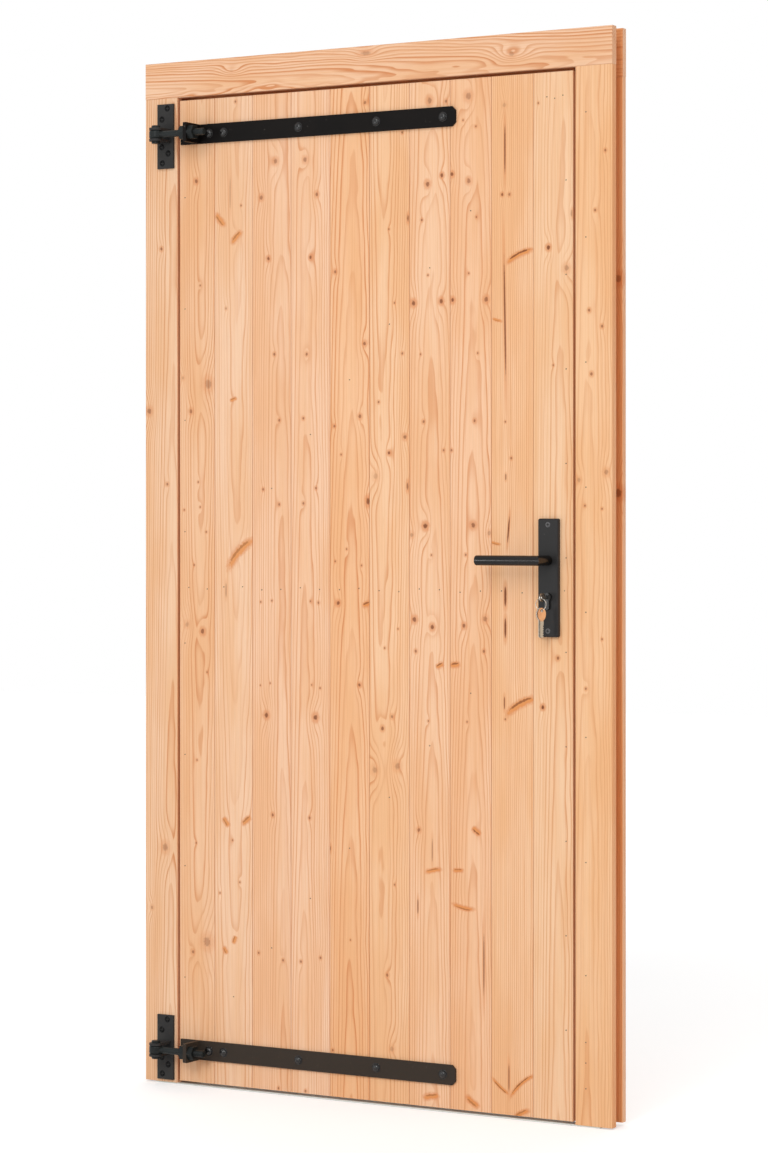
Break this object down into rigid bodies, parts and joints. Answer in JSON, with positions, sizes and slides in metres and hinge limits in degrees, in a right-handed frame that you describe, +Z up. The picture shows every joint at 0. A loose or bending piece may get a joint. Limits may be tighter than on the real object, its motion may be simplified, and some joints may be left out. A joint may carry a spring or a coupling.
{
  "type": "single door",
  "caption": "Outward-opening boarded timber door in its own frame, with black strap hinges, a lever lock set, keys in the lock and a metal threshold strip.",
  "frame": {"origin": "middle of the threshold strip's underside, half-way through the frame's depth", "axes": "+X from the hinges to the lock as seen from outside, +Y inwards through the doorway, +Z up"},
  "size_m": [1.09, 0.175, 2.14],
  "materials": {
    "frame_timber": "planed, unpainted",
    "core_timber": "planed, unpainted",
    "leaf_boards": "planed, unpainted",
    "ledge_timber": "planed, unpainted",
    "black_steel": "satin black",
    "lock_steel": "brushed",
    "cylinder_nickel": "satin",
    "key_nickel": "satin",
    "key_copper": "satin",
    "threshold_aluminium": "mill"
  },
  "bodies": {
    "frame": {"head_core": "core_timber", "head_front_board": "frame_timber", "head_rear_board": "frame_timber", "hinge_jamb_core": "core_timber", "hinge_jamb_front_board": "frame_timber", "hinge_jamb_rear_board": "frame_timber", "lock_jamb_core": "core_timber", "lock_jamb_front_board": "frame_timber", "lock_jamb_rear_board": "frame_timber", "threshold_strip": "threshold_aluminium", "strike_plate": "lock_steel", "upper_hinge_plate": "black_steel", "upper_hinge_pin": "black_steel", "lower_hinge_plate": "black_steel", "lower_hinge_pin": "black_steel"},
    "leaf": {"bottom_rail": "ledge_timber", "front_spare_key": "key_copper", "hinge_stile": "ledge_timber", "inside_handle_plate": "black_steel", "key_ring": "key_nickel", "latch_and_bolt": "lock_steel", "leaf_board_01": "leaf_boards", "leaf_board_02": "leaf_boards", "leaf_board_03": "leaf_boards", "leaf_board_04": "leaf_boards", "leaf_board_05": "leaf_boards", "leaf_board_06": "leaf_boards", "leaf_board_07": "leaf_boards", "leaf_board_08": "leaf_boards", "leaf_board_09": "leaf_boards", "leaf_board_10": "leaf_boards", "lock_case": "lock_steel", "lock_cylinder": "cylinder_nickel", "lock_key": "key_nickel", "lock_stile": "ledge_timber", "lower_brace": "ledge_timber", "lower_eye_bolt": "black_steel", "lower_eye_bolt_nuts": "black_steel", "lower_strap": "black_steel", "middle_rail": "ledge_timber", "outside_handle_plate": "black_steel", "rear_spare_key": "key_nickel", "top_rail": "ledge_timber", "upper_brace": "ledge_timber", "upper_eye_bolt": "black_steel", "upper_eye_bolt_nuts": "black_steel", "upper_strap": "black_steel"},
    "lever": {"outside_lever": "black_steel", "inside_lever": "black_steel", "spindle": "lock_steel"}
  },
  "joints": [
    {"name": "leaf_swing", "type": "hinge", "parent": "frame", "child": "leaf", "pos_m": [-0.492, -0.0705, 1.0305], "axis": [0, 0, -1], "range_deg": [0, 170]},
    {"name": "lever_turn", "type": "hinge", "parent": "leaf", "child": "lever", "pos_m": [0.409, -0.0385, 1.102], "axis": [0, -1, 0], "range_deg": [0, 45], "stiffness_Nm_per_rad": 1.5, "springref_deg": -17.19}
  ]
}
